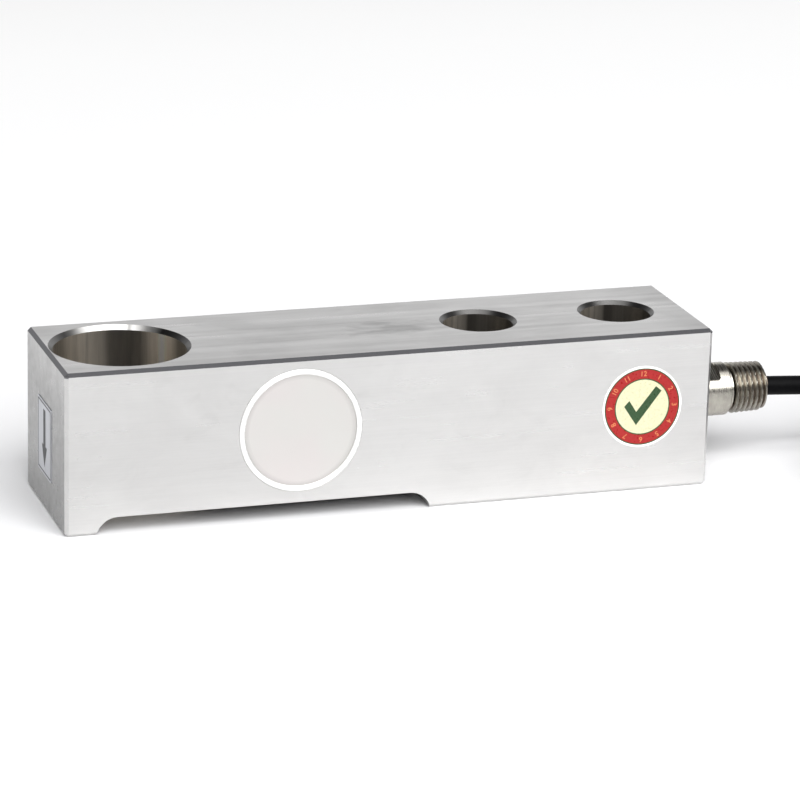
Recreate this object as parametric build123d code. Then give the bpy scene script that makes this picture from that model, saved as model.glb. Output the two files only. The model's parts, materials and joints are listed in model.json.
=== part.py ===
from build123d import *
from math import cos, pi, radians, sin, sqrt, tan
import os

# Single ended shear beam load cell, in millimetres.
# Origin: centre of the two-bolt mounting pattern, on the bottom mounting face.
# +X points to the cable end, +Z up, and -Y is the face that carries the round sticker.

# Beam
SECTION = 42.5
LOAD_EDGE = 19.05
LOAD_TO_MOUNTS = 114.3
BOLT_SPACING = 38.1
MOUNT_EDGE = 19.05
EDGE_BREAK = 0.9
LOAD_BORE_R = 16.85
LOAD_RIM = 1.15
MOUNT_BORE_R = 9.1
MOUNT_RIM = 1.0
MOUNT_RIM_BELOW = 0.4

# Underside relief
RELIEF_DEPTH = 4.5
RELIEF_CUTTER_R = 5.7
FOOT_LENGTH = 7.9
PAD_LENGTH = 76.0

# Gauge pockets and their welded covers
LOAD_TO_GAUGES = 41.5
WEB_THICKNESS = 10.0
POCKET_R = 12.5
COVER_R = 14.65
COVER_THICKNESS = 1.2
COVER_RECESS = 0.1
WELD_WIDTH = 1.5
WELD_DEPTH = 0.8
WELD_PROUD = 0.25
WELD_CROWN = 0.35

# Wire ducts
DUCT_R = 1.75
DUCT_SIDE = 15.5
LINK_ANGLE = 53.0
CROSS_DUCT_R = 1.7
CROSS_DUCT_OFFSET = 10.3
DUCT_PLUG_LENGTH = 3.0

# Strain gauges, on both faces of the web
FILM_LENGTH = 14.0
FILM_HEIGHT = 8.0
FILM_THICKNESS = 0.15
FOIL_THICKNESS = 0.1
GRID_LINES = 7
GRID_PITCH = 0.6
GRID_LINE_WIDTH = 0.3
GRID_LENGTH = 4.2
GRID_SPACING = 6.8

# Terminal strip, balance board and resistors
STRIP_LENGTH = 12.0
STRIP_HEIGHT = 3.2
STRIP_THICKNESS = 0.4
STRIP_OFFSET = 7.2
PAD_COUNT = 4
PAD_WIDTH = 1.8
PAD_HEIGHT = 2.2
PAD_THICKNESS = 0.1
PAD_PITCH = 2.7
BOARD_LENGTH = 12.0
BOARD_HEIGHT = 3.6
BOARD_THICKNESS = 0.8
BOARD_OFFSET = 6.8
RESISTOR_COUNT = 3
RESISTOR_LENGTH = 1.6
RESISTOR_HEIGHT = 0.8
RESISTOR_THICKNESS = 0.5
RESISTOR_PITCH = 1.9

# Wires
WIRE_R = 0.35
WIRE_PITCH = 0.72
WIRE_COUNT = 4
WIRE_RISE = 2.0
LAYER_PITCH = 0.85
BRIDGE_SOLDER_DROP = 0.36
CROSS_SOLDER_START = 0.9
CROSS_SOLDER_RISE = 0.9
JUMPER_WIDTH = 0.4
JUMPER_THICKNESS = 0.15
JUMPER_RISE = 0.8

# Cable adapter with a 1/4-18 NPT thread
ADAPTER_Z = 19.0
ENTRY_BORE_R = 5.0
ENTRY_BORE_DEPTH = 7.0
SPIGOT_LENGTH = 3.5
COLLAR_R = 7.1
COLLAR_LENGTH = 12.5
FLAT_DISTANCE = 6.2
FLAT_LENGTH = 9.6
FLAT_WIDTH = 7.4
FLAT_CORNER_R = 1.6
FLAT_ANGLE = 65.0
UNDERCUT_R = 5.9
UNDERCUT_LENGTH = 0.9
THREAD_R = 6.86
THREAD_TAPER = 1 / 16
THREAD_LENGTH = 10.1
THREAD_CHAMFER = 0.9
ADAPTER_BORE_R = 4.2
MOUTH_LENGTH = 3.0
MOUTH_CLEARANCE = 0.35
ADAPTER_WELD_LEG = 0.8

# Cable entry seal
JACKET_CUT = 8.0
POTTING_START = 2.0
POTTING_LENGTH = 10.5
WASHER_THICKNESS = 0.8
GROMMET_LENGTH = 6.4

# Load direction label and round sticker
LABEL_WIDTH = 14.5
LABEL_HEIGHT = 19.3
LABEL_THICKNESS = 0.2
LABEL_Z = 19.0
LABEL_SIDE = 0.6
LABEL_CORNER_R = 0.6
STICKER_R = 10.9
STICKER_THICKNESS = 0.15
STICKER_Z = 22.9

# Cable, its stored coil and its far end
CABLE_R = 2.6
ARC_SHARE = 0.45
COIL_ROWS = 6
COIL_ROW_TURNS = 4.5
COIL_PITCH = 5.3
COIL_MEAN_R = 33.5
COIL_CORNER = 2.4
COIL_INSET = 0.3
COIL_CENTRE_X = 125.0
TIE_WIDTH = 4.6
TIE_THICKNESS = 0.8
TIE_ANGLES = (50.0, 200.0)
TIE_HEAD = 5.2
SLEEVE_R = 3.2
SLEEVE_TIP_R = 2.6
SLEEVE_LENGTH = 14.0
SLEEVE_OVERLAP = 5.0
LEAD_R = 0.65
DRAIN_R = 0.5
LEAD_RING_R = 1.3
LEAD_SPREAD = 2.4
LEAD_STRAIGHT = 2.0
LEAD_LENGTH = 36.0
TIP_R = 0.4
TIP_LENGTH = 5.0

# Clearances
FIT = 0.05
RUN_OUT = 1.0
FLOOR_GAP = 0.15

# Places worked out from the sizes above
LOAD_X = -LOAD_TO_MOUNTS
LOAD_END_X = LOAD_X - LOAD_EDGE
CABLE_END_X = BOLT_SPACING / 2 + MOUNT_EDGE
BEAM_LENGTH = CABLE_END_X - LOAD_END_X
BEAM_MID_X = (CABLE_END_X + LOAD_END_X) / 2
GAUGE_X = LOAD_X + LOAD_TO_GAUGES
GAUGE_Z = (SECTION + RELIEF_DEPTH) / 2
FACE_Y = -SECTION / 2
WEB_Y = -WEB_THICKNESS / 2
CUTTER_REACH = sqrt(RELIEF_CUTTER_R**2 - (RELIEF_CUTTER_R - RELIEF_DEPTH) ** 2)
WELD_R = COVER_R + WELD_WIDTH
COLLAR_END_X = CABLE_END_X + COLLAR_LENGTH
THREAD_START_X = COLLAR_END_X + UNDERCUT_LENGTH
MOUTH_X = THREAD_START_X + THREAD_LENGTH
JACKET_CUT_X = CABLE_END_X + JACKET_CUT
STRIP_Z = GAUGE_Z + STRIP_OFFSET
BOARD_Z = GAUGE_Z - BOARD_OFFSET
CROSS_DUCT_X = GAUGE_X + CROSS_DUCT_OFFSET
LINK_DUCT_X = CABLE_END_X - 2.0
DUCT_CORNER_X = LINK_DUCT_X - DUCT_SIDE / tan(radians(LINK_ANGLE))
COIL_TRAVEL = COIL_ROW_TURNS * COIL_PITCH
COIL_RISE = (COIL_ROWS - 1) * COIL_PITCH
COIL_OUTER_TURN_R = COIL_MEAN_R + COIL_TRAVEL / 2
COIL_CENTRE_Y = -COIL_OUTER_TURN_R
COIL_FIRST_Z = TIE_THICKNESS + FIT + CABLE_R
COIL_LAST_Z = COIL_FIRST_Z + COIL_RISE
COIL_TOP_Z = COIL_LAST_Z + CABLE_R
TAIL_END_Z = COIL_TOP_Z + SLEEVE_R + FIT


def x_cylinder(radius, x_from, x_to, y=0, z=ADAPTER_Z):
    return Pos((x_from + x_to) / 2, y, z) * Rot(0, 90, 0) * Cylinder(radius, x_to - x_from)


def y_cylinder(radius, y_from, y_to, x=GAUGE_X, z=GAUGE_Z):
    return Pos(x, (y_from + y_to) / 2, z) * Rot(90, 0, 0) * Cylinder(radius, y_to - y_from)


def block(x_from, x_to, y_from, y_to, z_from, z_to):
    centre = Pos((x_from + x_to) / 2, (y_from + y_to) / 2, (z_from + z_to) / 2)
    return centre * Box(x_to - x_from, y_to - y_from, z_to - z_from)


def rear(shape):
    return mirror(shape, about=Plane.XZ)


def tube_along(path, radius):
    start = Plane(origin=path @ 0, z_dir=path % 0)
    return sweep(start * Circle(radius), path=path)


def wire_along(points):
    path = Polyline(*points)
    start = Plane(origin=path @ 0, z_dir=path % 0)
    return sweep(start * Circle(WIRE_R), path=path, transition=Transition.RIGHT)


# The beam


def rimmed_bore(radius, rim, rim_below, x):
    bore = Pos(x, 0, SECTION / 2) * Cylinder(radius, SECTION + 2 * RUN_OUT)
    bottom_rim = Pos(x, 0, rim_below / 2) * Cone(radius + rim_below, radius, rim_below)
    top_rim = Pos(x, 0, SECTION - rim / 2) * Cone(radius, radius + rim, rim)
    return bore + bottom_rim + top_rim


def relief_cut():
    ceiling_start = LOAD_END_X + FOOT_LENGTH + CUTTER_REACH
    ceiling_end = CABLE_END_X - PAD_LENGTH - CUTTER_REACH
    slab = block(
        ceiling_start - RELIEF_CUTTER_R,
        ceiling_end + RELIEF_CUTTER_R,
        FACE_Y - RUN_OUT,
        -FACE_Y + RUN_OUT,
        RELIEF_DEPTH - 2 * RELIEF_CUTTER_R,
        RELIEF_DEPTH,
    )
    ceiling_edges = slab.edges().filter_by(Axis.Y).group_by(Axis.Z)[-1]
    return fillet(ceiling_edges, RELIEF_CUTTER_R)


def pocket_cut():
    weld_groove = y_cylinder(WELD_R, FACE_Y - RUN_OUT, FACE_Y + WELD_DEPTH)
    cover_seat = y_cylinder(COVER_R, FACE_Y - RUN_OUT, FACE_Y + COVER_THICKNESS)
    pocket = y_cylinder(POCKET_R, FACE_Y - RUN_OUT, WEB_Y)
    return weld_groove + cover_seat + pocket


def long_duct():
    return x_cylinder(DUCT_R, GAUGE_X, CABLE_END_X + RUN_OUT, y=-DUCT_SIDE)


def link_duct():
    length = DUCT_SIDE / sin(radians(LINK_ANGLE))
    start = Vector(LINK_DUCT_X, 0, ADAPTER_Z)
    heading = Vector(-cos(radians(LINK_ANGLE)), -sin(radians(LINK_ANGLE)), 0)
    duct = Plane(origin=start, z_dir=heading) * Pos(0, 0, length / 2) * Cylinder(DUCT_R, length)
    return duct


def cross_duct():
    return y_cylinder(CROSS_DUCT_R, WEB_Y - RUN_OUT, -WEB_Y + RUN_OUT, x=CROSS_DUCT_X)


def entry_bore():
    return x_cylinder(ENTRY_BORE_R, CABLE_END_X - ENTRY_BORE_DEPTH, CABLE_END_X + RUN_OUT)


def make_beam_body():
    bar = Pos(BEAM_MID_X, 0, SECTION / 2) * Box(BEAM_LENGTH, SECTION, SECTION)
    bar = chamfer(bar.edges(), EDGE_BREAK)
    bar = bar - rimmed_bore(LOAD_BORE_R, LOAD_RIM, LOAD_RIM, LOAD_X)
    for x in (-BOLT_SPACING / 2, BOLT_SPACING / 2):
        bar = bar - rimmed_bore(MOUNT_BORE_R, MOUNT_RIM, MOUNT_RIM_BELOW, x)
    bar = bar - relief_cut()
    bar = bar - pocket_cut() - rear(pocket_cut())
    bar = bar - long_duct() - link_duct() - cross_duct() - entry_bore()
    return bar


def make_duct_plug():
    x_from = CABLE_END_X - DUCT_PLUG_LENGTH
    return x_cylinder(DUCT_R - FIT, x_from, CABLE_END_X, y=-DUCT_SIDE)


# Covers and their welds


def make_cover():
    return y_cylinder(COVER_R - FIT, FACE_Y + COVER_RECESS, FACE_Y + COVER_THICKNESS)


def make_cover_weld():
    outer = y_cylinder(WELD_R - FIT, FACE_Y - WELD_PROUD, FACE_Y + WELD_DEPTH)
    inner = y_cylinder(COVER_R, FACE_Y - RUN_OUT, FACE_Y + WELD_DEPTH + RUN_OUT)
    ring = outer - inner
    crown = ring.edges().filter_by(GeomType.CIRCLE).group_by(Axis.Y)[0]
    return chamfer(crown, WELD_PROUD, WELD_CROWN)


# Strain gauges and terminals on the front of the web


def make_gauge_film():
    film = block(
        GAUGE_X - FILM_LENGTH / 2,
        GAUGE_X + FILM_LENGTH / 2,
        WEB_Y - FILM_THICKNESS,
        WEB_Y,
        GAUGE_Z - FILM_HEIGHT / 2,
        GAUGE_Z + FILM_HEIGHT / 2,
    )
    return film


def one_grid():
    half_length = GRID_LENGTH / 2
    first = -(GRID_LINES - 1) * GRID_PITCH / 2
    grid = None
    for number in range(GRID_LINES):
        across = first + number * GRID_PITCH
        line = Pos(across, 0, 0) * Box(GRID_LINE_WIDTH, FOIL_THICKNESS, GRID_LENGTH)
        grid = line if grid is None else grid + line
        if number < GRID_LINES - 1:
            turn_z = half_length if number % 2 == 0 else -half_length
            turn_z = turn_z - GRID_LINE_WIDTH / 2 if turn_z > 0 else turn_z + GRID_LINE_WIDTH / 2
            turn = Box(GRID_PITCH + GRID_LINE_WIDTH, FOIL_THICKNESS, GRID_LINE_WIDTH)
            grid = grid + Pos(across + GRID_PITCH / 2, 0, turn_z) * turn
    return grid


def make_gauge_grids():
    foil_y = WEB_Y - FILM_THICKNESS - FOIL_THICKNESS / 2
    grids = []
    for side in (-1, 1):
        place = Pos(GAUGE_X + side * GRID_SPACING / 2, foil_y, GAUGE_Z)
        grids.append(place * Rot(0, 45 * side, 0) * one_grid())
    return Compound(children=grids)


def pad_x(number):
    return GAUGE_X + (number - (PAD_COUNT - 1) / 2) * PAD_PITCH


def make_terminal_strip():
    strip = block(
        GAUGE_X - STRIP_LENGTH / 2,
        GAUGE_X + STRIP_LENGTH / 2,
        WEB_Y - STRIP_THICKNESS,
        WEB_Y,
        STRIP_Z - STRIP_HEIGHT / 2,
        STRIP_Z + STRIP_HEIGHT / 2,
    )
    return strip


def make_terminal_pads():
    pads = []
    pad_y = WEB_Y - STRIP_THICKNESS - PAD_THICKNESS / 2
    for number in range(PAD_COUNT):
        place = Pos(pad_x(number), pad_y, STRIP_Z)
        pads.append(place * Box(PAD_WIDTH, PAD_THICKNESS, PAD_HEIGHT))
    return Compound(children=pads)


def make_gauge_leads():
    leads = []
    pad_y = WEB_Y - STRIP_THICKNESS - PAD_THICKNESS
    foil_y = WEB_Y - FILM_THICKNESS - FOIL_THICKNESS
    top_y = foil_y - JUMPER_RISE
    gauge_z = GAUGE_Z + FILM_HEIGHT / 4
    for number in range(PAD_COUNT):
        x_from = pad_x(number) - JUMPER_WIDTH / 2
        x_to = x_from + JUMPER_WIDTH
        under_y = top_y + JUMPER_THICKNESS
        gauge_leg = block(x_from, x_to, top_y, foil_y, gauge_z - JUMPER_THICKNESS, gauge_z)
        pad_leg = block(x_from, x_to, top_y, pad_y, STRIP_Z, STRIP_Z + JUMPER_THICKNESS)
        bridge = block(x_from, x_to, top_y, under_y, gauge_z, STRIP_Z)
        leads.append(gauge_leg + bridge + pad_leg)
    return Compound(children=leads)


def make_balance_board():
    board = block(
        GAUGE_X - BOARD_LENGTH / 2,
        GAUGE_X + BOARD_LENGTH / 2,
        WEB_Y - BOARD_THICKNESS,
        WEB_Y,
        BOARD_Z - BOARD_HEIGHT / 2,
        BOARD_Z + BOARD_HEIGHT / 2,
    )
    return board


def make_balance_resistors():
    resistors = []
    resistor_y = WEB_Y - BOARD_THICKNESS - RESISTOR_THICKNESS / 2
    for number in range(RESISTOR_COUNT):
        x = GAUGE_X - BOARD_LENGTH / 2 + RESISTOR_LENGTH + number * RESISTOR_PITCH
        body = Box(RESISTOR_LENGTH, RESISTOR_THICKNESS, RESISTOR_HEIGHT)
        resistors.append(Pos(x, resistor_y, BOARD_Z) * body)
    return Compound(children=resistors)


# Wires


def wire_levels():
    return [(number - (WIRE_COUNT - 1) / 2) * WIRE_PITCH for number in range(WIRE_COUNT)]


def make_bridge_wires():
    board_x = GAUGE_X + BOARD_LENGTH / 2 - WIRE_R
    board_y = WEB_Y - BOARD_THICKNESS
    wires = []
    for level in wire_levels():
        duct_z = ADAPTER_Z + level
        solder_z = BOARD_Z - BRIDGE_SOLDER_DROP + level
        points = (
            (board_x, board_y, solder_z),
            (board_x, board_y - WIRE_RISE, solder_z),
            (board_x, -DUCT_SIDE, duct_z),
            (DUCT_CORNER_X, -DUCT_SIDE, duct_z),
            (LINK_DUCT_X, 0, duct_z),
            (JACKET_CUT_X, 0, duct_z),
        )
        wires.append(wire_along(points))
    return Compound(children=wires)


def make_cross_wires():
    strip_y = -WEB_Y + STRIP_THICKNESS + PAD_THICKNESS
    strip_z = STRIP_Z + PAD_HEIGHT / 2 - WIRE_R
    board_y = WEB_Y - BOARD_THICKNESS
    solder_z = BOARD_Z + CROSS_SOLDER_RISE
    wires = []
    for number, level in enumerate(wire_levels()):
        duct_z = GAUGE_Z + level
        rear_y = strip_y + WIRE_RISE + (WIRE_COUNT - 1 - number) * LAYER_PITCH
        front_y = board_y - WIRE_RISE - number * LAYER_PITCH
        board_x = GAUGE_X + CROSS_SOLDER_START + (WIRE_COUNT - 1 - number) * LAYER_PITCH
        points = (
            (pad_x(number), strip_y, strip_z),
            (pad_x(number), rear_y, strip_z),
            (CROSS_DUCT_X, rear_y, duct_z),
            (CROSS_DUCT_X, front_y, duct_z),
            (board_x, front_y, solder_z),
            (board_x, board_y, solder_z),
        )
        wires.append(wire_along(points))
    return Compound(children=wires)


# Cable adapter and what it holds


def adapter_flat(side):
    inner = block(
        CABLE_END_X - RUN_OUT,
        CABLE_END_X + FLAT_LENGTH,
        -FLAT_WIDTH / 2,
        FLAT_WIDTH / 2,
        FLAT_DISTANCE,
        COLLAR_R + RUN_OUT,
    )
    corners = inner.edges().filter_by(Axis.Z).group_by(Axis.X)[-1]
    flat = fillet(corners, FLAT_CORNER_R)
    turn = 90 - FLAT_ANGLE if side > 0 else 270 - FLAT_ANGLE
    return Pos(0, 0, ADAPTER_Z) * Rot(turn, 0, 0) * flat


def make_conduit_adapter():
    thread_end_r = THREAD_R - THREAD_LENGTH * THREAD_TAPER / 2
    spigot_x = CABLE_END_X - SPIGOT_LENGTH
    outline = Polyline(
        (spigot_x, ADAPTER_BORE_R),
        (spigot_x, ENTRY_BORE_R - FIT),
        (CABLE_END_X, ENTRY_BORE_R - FIT),
        (CABLE_END_X, COLLAR_R),
        (COLLAR_END_X, COLLAR_R),
        (COLLAR_END_X, UNDERCUT_R),
        (THREAD_START_X, UNDERCUT_R),
        (THREAD_START_X + (THREAD_R - UNDERCUT_R) / 2, THREAD_R),
        (MOUTH_X - THREAD_CHAMFER, thread_end_r),
        (MOUTH_X, thread_end_r - THREAD_CHAMFER),
        (MOUTH_X, CABLE_R + MOUTH_CLEARANCE),
        (MOUTH_X - MOUTH_LENGTH, CABLE_R + MOUTH_CLEARANCE),
        (MOUTH_X - MOUTH_LENGTH, ADAPTER_BORE_R),
        close=True,
    )
    half_section = Plane.XZ * make_face(outline)
    turned = Pos(0, 0, ADAPTER_Z) * revolve(half_section, Axis.X)
    return turned - adapter_flat(1) - adapter_flat(-1)


def make_adapter_weld():
    bead = Polyline(
        (CABLE_END_X, COLLAR_R + FIT),
        (CABLE_END_X, COLLAR_R + FIT + ADAPTER_WELD_LEG),
        (CABLE_END_X + ADAPTER_WELD_LEG, COLLAR_R + FIT),
        close=True,
    )
    return Pos(0, 0, ADAPTER_Z) * revolve(Plane.XZ * make_face(bead), Axis.X)


def ring_in_adapter(x_from, length):
    outer = x_cylinder(ADAPTER_BORE_R - FIT, x_from, x_from + length)
    return outer - x_cylinder(CABLE_R + FIT, x_from - RUN_OUT, x_from + length + RUN_OUT)


def make_entry_potting():
    x_from = CABLE_END_X + POTTING_START
    x_to = x_from + POTTING_LENGTH
    plug = x_cylinder(ADAPTER_BORE_R - FIT, x_from, x_to)
    plug = plug - x_cylinder(CABLE_R + FIT, JACKET_CUT_X, x_to + RUN_OUT)
    for level in wire_levels():
        z = ADAPTER_Z + level
        plug = plug - x_cylinder(WIRE_R, x_from - RUN_OUT, JACKET_CUT_X + RUN_OUT, z=z)
    return plug


def make_grommet_washer():
    grommet_x = MOUTH_X - MOUTH_LENGTH - GROMMET_LENGTH
    return ring_in_adapter(grommet_x - WASHER_THICKNESS, WASHER_THICKNESS)


def make_cable_grommet():
    return ring_in_adapter(MOUTH_X - MOUTH_LENGTH - GROMMET_LENGTH, GROMMET_LENGTH)


# Label and sticker


def make_load_direction_label():
    plate = Box(LABEL_THICKNESS, LABEL_WIDTH, LABEL_HEIGHT)
    plate = fillet(plate.edges().filter_by(Axis.X), LABEL_CORNER_R)
    return Pos(LOAD_END_X - LABEL_THICKNESS / 2, LABEL_SIDE, LABEL_Z) * plate


def make_round_sticker():
    return y_cylinder(STICKER_R, FACE_Y - STICKER_THICKNESS, FACE_Y, BOLT_SPACING / 2, STICKER_Z)


# Cable


def arc_radii(points):
    radii = []
    for before, here, after in zip(points, points[1:], points[2:]):
        run_in = Vector(here) - Vector(before)
        run_out = Vector(after) - Vector(here)
        half_turn = radians(run_in.get_angle(run_out)) / 2
        radii.append(ARC_SHARE * min(run_in.length, run_out.length) / tan(half_turn))
    return radii


def cord_tube(name, points, radius):
    radii = arc_radii(points)
    path = FilletPolyline(*points, radius=radii)
    tube = tube_along(path, radius)
    whole = pi * radius**2 * path.length
    print(name, "arc radii", [round(r, 1) for r in radii], "length", round(path.length, 1))
    print(name, "volume over section times length", round(tube.volume / whole, 4))
    return tube


CABLE_ROUTE = (
    (JACKET_CUT_X, 0.0, ADAPTER_Z),
    (60.0, 0.0, ADAPTER_Z),
    (84.0, 0.1, 17.5),
    (98.0, 0.2, 12.0),
    (111.0, 0.3, 4.9),
    (COIL_CENTRE_X, 0.0, COIL_FIRST_Z),
)

TAIL_ROUTE = (
    (COIL_CENTRE_X + COIL_OUTER_TURN_R, COIL_CENTRE_Y, COIL_LAST_Z),
    (170.4, -59.4, 31.0),
    (163.4, -71.5, 34.0),
    (151.3, -78.5, TAIL_END_Z),
    (134.5, -77.9, TAIL_END_Z),
)


def make_cable():
    return cord_tube("cable", CABLE_ROUTE, CABLE_R)


def make_cable_tail():
    return cord_tube("cable_tail", TAIL_ROUTE, CABLE_R)


def on_coil(angle):
    middle_z = (COIL_FIRST_Z + COIL_LAST_Z) / 2
    turn = Rot(0, 0, angle)
    return Pos(COIL_CENTRE_X, COIL_CENTRE_Y, middle_z) * turn * Pos(COIL_MEAN_R, 0, 0)


def turns_section(margin):
    reach = 2 * (CABLE_R + margin)
    section = Rectangle(COIL_TRAVEL + reach, COIL_RISE + reach)
    return chamfer(section.vertices(), COIL_CORNER)


def coil_tie(angle):
    loop = turns_section(FIT + TIE_THICKNESS) - turns_section(FIT)
    band = extrude(Plane.XZ * loop, TIE_WIDTH / 2, both=True)
    head_x = COIL_TRAVEL / 2 + CABLE_R + FIT + TIE_HEAD / 2
    head = Box(TIE_HEAD, TIE_WIDTH + 1, TIE_HEAD)
    head = chamfer(head.edges(), TIE_THICKNESS / 2)
    return on_coil(angle) * (band + Pos(head_x, 0, 0) * head)


def make_coil_ties():
    return Compound(children=[coil_tie(angle) for angle in TIE_ANGLES])


def make_cable_coil():
    section = Plane.XZ * Pos(COIL_MEAN_R, (COIL_FIRST_Z + COIL_LAST_Z) / 2)
    ring = revolve(section * turns_section(-COIL_INSET), Axis.Z)
    return Pos(COIL_CENTRE_X, COIL_CENTRE_Y, 0) * ring - make_cable() - make_cable_tail()


# Far end of the cable


def end_plane():
    heading = Vector(*TAIL_ROUTE[-1]) - Vector(*TAIL_ROUTE[-2])
    return Plane(origin=TAIL_ROUTE[-1], x_dir=(0, 0, 1), z_dir=heading)


def make_cable_end_sleeve():
    lead_end = SLEEVE_LENGTH - SLEEVE_OVERLAP
    lead_bore = LEAD_RING_R + LEAD_R + 2 * FIT
    outline = Polyline(
        (CABLE_R + FIT, -SLEEVE_OVERLAP),
        (SLEEVE_R, -SLEEVE_OVERLAP),
        (SLEEVE_R, 0),
        (SLEEVE_TIP_R, lead_end / 2),
        (SLEEVE_TIP_R, lead_end),
        (lead_bore, lead_end),
        (lead_bore, FIT),
        (CABLE_R + FIT, FIT),
        close=True,
    )
    return end_plane() * revolve(Plane.XZ * make_face(outline), Axis.Z)


def lead_points(number):
    ring_angle = radians((162, 234, 90, 306, 18)[number])
    up = LEAD_RING_R * sin(ring_angle)
    side = LEAD_RING_R * cos(ring_angle)
    spread = (number - 2) * LEAD_SPREAD
    resting = COIL_TOP_Z + LEAD_R + FLOOR_GAP - TAIL_END_Z
    place = end_plane()
    local = (
        (up, side, 0),
        (up, side, SLEEVE_LENGTH - SLEEVE_OVERLAP + LEAD_STRAIGHT),
        (resting, 0.75 * spread, LEAD_LENGTH / 2),
        (resting, spread, LEAD_LENGTH),
    )
    return [place.from_local_coords(Vector(*point)) for point in local]


def make_lead(number, radius):
    points = lead_points(number)
    return tube_along(FilletPolyline(*points, radius=arc_radii(points)), radius)


def make_tinned_tips():
    tips = []
    for number in range(WIRE_COUNT):
        points = lead_points(number)
        heading = (points[-1] - points[-2]).normalized()
        tips.append(tube_along(Line(points[-1], points[-1] + heading * TIP_LENGTH), TIP_R))
    return Compound(children=tips)


PARTS = {
    "beam_body": make_beam_body,
    "duct_plug": make_duct_plug,
    "front_cavity_cover": make_cover,
    "rear_cavity_cover": lambda: rear(make_cover()),
    "front_cover_weld": make_cover_weld,
    "rear_cover_weld": lambda: rear(make_cover_weld()),
    "front_gauge_film": make_gauge_film,
    "rear_gauge_film": lambda: rear(make_gauge_film()),
    "front_gauge_grids": make_gauge_grids,
    "rear_gauge_grids": lambda: rear(make_gauge_grids()),
    "front_terminal_strip": make_terminal_strip,
    "rear_terminal_strip": lambda: rear(make_terminal_strip()),
    "front_terminal_pads": make_terminal_pads,
    "rear_terminal_pads": lambda: rear(make_terminal_pads()),
    "front_gauge_leads": make_gauge_leads,
    "rear_gauge_leads": lambda: rear(make_gauge_leads()),
    "balance_board": make_balance_board,
    "balance_resistors": make_balance_resistors,
    "bridge_wires": make_bridge_wires,
    "cross_wires": make_cross_wires,
    "conduit_adapter": make_conduit_adapter,
    "adapter_weld": make_adapter_weld,
    "entry_potting": make_entry_potting,
    "grommet_washer": make_grommet_washer,
    "cable_grommet": make_cable_grommet,
    "load_direction_label": make_load_direction_label,
    "round_sticker": make_round_sticker,
    "cable": make_cable,
    "cable_tail": make_cable_tail,
    "cable_coil": make_cable_coil,
    "coil_ties": make_coil_ties,
    "cable_end_sleeve": make_cable_end_sleeve,
    "red_lead": lambda: make_lead(0, LEAD_R),
    "black_lead": lambda: make_lead(1, LEAD_R),
    "green_lead": lambda: make_lead(2, LEAD_R),
    "white_lead": lambda: make_lead(3, LEAD_R),
    "shield_drain": lambda: make_lead(4, DRAIN_R),
    "tinned_tips": make_tinned_tips,
}

os.makedirs("parts", exist_ok=True)
for name, make in PARTS.items():
    export_step(make(), "parts/" + name + ".step")
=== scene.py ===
import json
from math import ceil, cos, pi, radians, sin, sqrt

import bmesh
import bpy
from mathutils import Matrix, Vector


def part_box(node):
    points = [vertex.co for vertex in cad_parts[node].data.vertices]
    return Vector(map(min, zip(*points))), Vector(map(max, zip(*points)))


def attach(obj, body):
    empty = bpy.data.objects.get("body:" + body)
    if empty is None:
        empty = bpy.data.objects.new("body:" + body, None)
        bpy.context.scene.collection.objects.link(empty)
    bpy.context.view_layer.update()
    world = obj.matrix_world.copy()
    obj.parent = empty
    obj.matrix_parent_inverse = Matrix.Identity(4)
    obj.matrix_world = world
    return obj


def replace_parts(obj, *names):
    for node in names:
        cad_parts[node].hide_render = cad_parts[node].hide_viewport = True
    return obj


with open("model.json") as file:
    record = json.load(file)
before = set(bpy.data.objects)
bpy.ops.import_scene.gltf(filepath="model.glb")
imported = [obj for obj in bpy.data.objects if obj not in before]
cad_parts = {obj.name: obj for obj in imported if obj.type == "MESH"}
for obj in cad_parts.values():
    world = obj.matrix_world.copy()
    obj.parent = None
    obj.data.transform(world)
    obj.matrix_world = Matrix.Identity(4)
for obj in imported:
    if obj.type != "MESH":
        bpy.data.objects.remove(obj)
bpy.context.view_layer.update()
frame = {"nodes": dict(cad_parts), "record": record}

bl_info = {
    "name": "Shear beam load cell",
    "version": (1, 0, 0),
    "blender": (4, 5, 0),
    "location": "View3D > Sidebar > Load cell",
    "description": "Finishes a shear beam load cell: ground steel, welds, thread, labels and cable",
    "category": "Object",
}

# The object in metres, as it is before anything is added
MM = 0.001

BEAM_LOW, BEAM_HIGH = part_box("beam_body")
COVER_LOW, COVER_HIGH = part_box("front_cavity_cover")
WELD_LOW, WELD_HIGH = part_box("front_cover_weld")
ADAPTER_LOW, ADAPTER_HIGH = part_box("conduit_adapter")
LABEL_LOW, LABEL_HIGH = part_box("load_direction_label")
STICKER_LOW, STICKER_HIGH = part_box("round_sticker")
MOUNTS = {mount["name"]: mount for mount in frame["record"]["mounts"]}

FACE_Y = BEAM_LOW.y
TOP_Z = BEAM_HIGH.z
COVER_CENTRE = (COVER_LOW + COVER_HIGH) / 2
ADAPTER_Z = (ADAPTER_LOW.z + ADAPTER_HIGH.z) / 2
COLLAR_R = (ADAPTER_HIGH.y - ADAPTER_LOW.y) / 2
LOAD_BORE_X = MOUNTS["load_bore"]["pos_m"][0]
LOAD_BORE_R = MOUNTS["load_bore"]["dims"]["r_mm"] * MM
BOLT_X = MOUNTS["mounting_bolts"]["dims"]["spacing_x_mm"] * MM / 2
BOLT_BORE_R = MOUNTS["mounting_bolts"]["dims"]["hole_r_mm"] * MM
RIM_REACH = 1.3 * MM

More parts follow.
